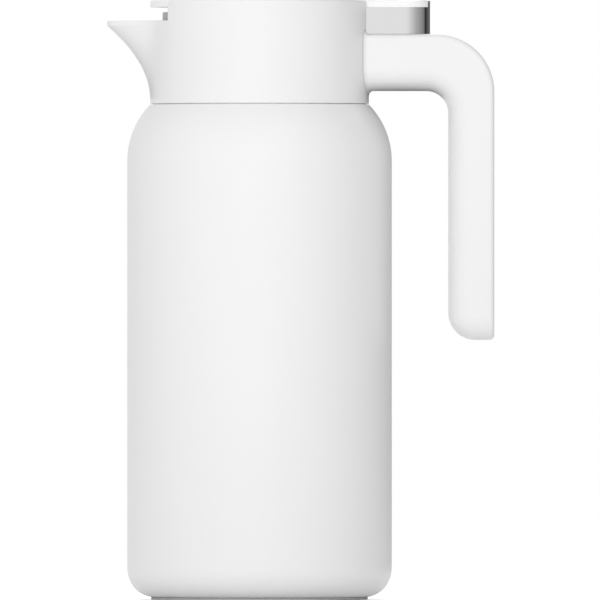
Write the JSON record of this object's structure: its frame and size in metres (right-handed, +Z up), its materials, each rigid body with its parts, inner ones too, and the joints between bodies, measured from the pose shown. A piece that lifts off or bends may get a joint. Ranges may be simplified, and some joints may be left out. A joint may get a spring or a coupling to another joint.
{
  "type": "insulated kettle",
  "caption": "White double-walled serving kettle with a beak spout, a drooping cranked handle and a flush rocking lid whose chrome-skirted thumb lever lifts a sprung pouring valve.",
  "frame": {"origin": "on the body's axis, at the plane that the foot ring stands on", "axes": "+Z up along the body's axis, +X towards the handle, -X towards the spout, +Y across"},
  "size_m": [0.1857, 0.127, 0.2876],
  "materials": {
    "jacket_paint": "satin white powder coat on steel",
    "white_plastic": "white polypropylene, satin moulded",
    "chrome_plate": "mirror chrome plate on moulded plastic",
    "stainless_steel": "drawn and lightly brushed stainless steel",
    "screw_steel": "plain stainless screws",
    "pin_steel": "ground stainless rod",
    "spring_steel": "drawn stainless spring wire",
    "port_solder": "dull solder bead",
    "getter_metal": "sintered dark metal",
    "foil": "bright rolled foil",
    "grey_silicone": "matt grey silicone",
    "grey_plastic": "grey polypropylene, satin moulded",
    "foam": "closed-cell insulating foam"
  },
  "bodies": {
    "kettle": {"outer_shell": "jacket_paint", "inner_liner": "stainless_steel", "base_disc": "stainless_steel", "vacuum_port_seal": "port_solder", "vacuum_getter": "getter_metal", "reflector_foil": "foil", "foot_ring": "grey_silicone", "neck_ring": "stainless_steel", "neck_gasket": "grey_silicone", "spout_collar": "white_plastic", "handle": "white_plastic", "handle_cover": "white_plastic", "handle_screws": "screw_steel"},
    "stopper": {"stopper_body": "grey_plastic", "stopper_base": "grey_plastic", "stopper_foam": "foam", "stopper_gasket": "grey_silicone", "rim_seal": "grey_silicone", "hinge_pin": "pin_steel", "valve_spring": "spring_steel"},
    "lid": {"lid_plate": "white_plastic", "thumb_skirt": "chrome_plate", "lever_frame": "grey_plastic", "lid_screws": "screw_steel"},
    "valve": {"valve_stem": "pin_steel", "stem_button": "grey_plastic", "valve_head": "grey_plastic", "valve_seal": "grey_silicone"}
  },
  "joints": [
    {"name": "stopper_lift", "type": "slide", "parent": "kettle", "child": "stopper", "axis": [0, 0, 1], "range_m": [0, 0.15]},
    {"name": "lid_press", "type": "hinge", "parent": "stopper", "child": "lid", "pos_m": [0.034, 0, 0.2816], "axis": [0, 1, 0], "range_deg": [0, 9], "stiffness_Nm_per_rad": 0.88, "springref_deg": -6.76},
    {"name": "valve_lift", "type": "slide", "parent": "stopper", "child": "valve", "axis": [0, 0, 1], "range_m": [0, 0.0054], "deforming": ["valve_spring"]}
  ],
  "couplings": [
    {"joint": "valve_lift", "follows": "lid_press", "m_per_rad": 0.034}
  ]
}
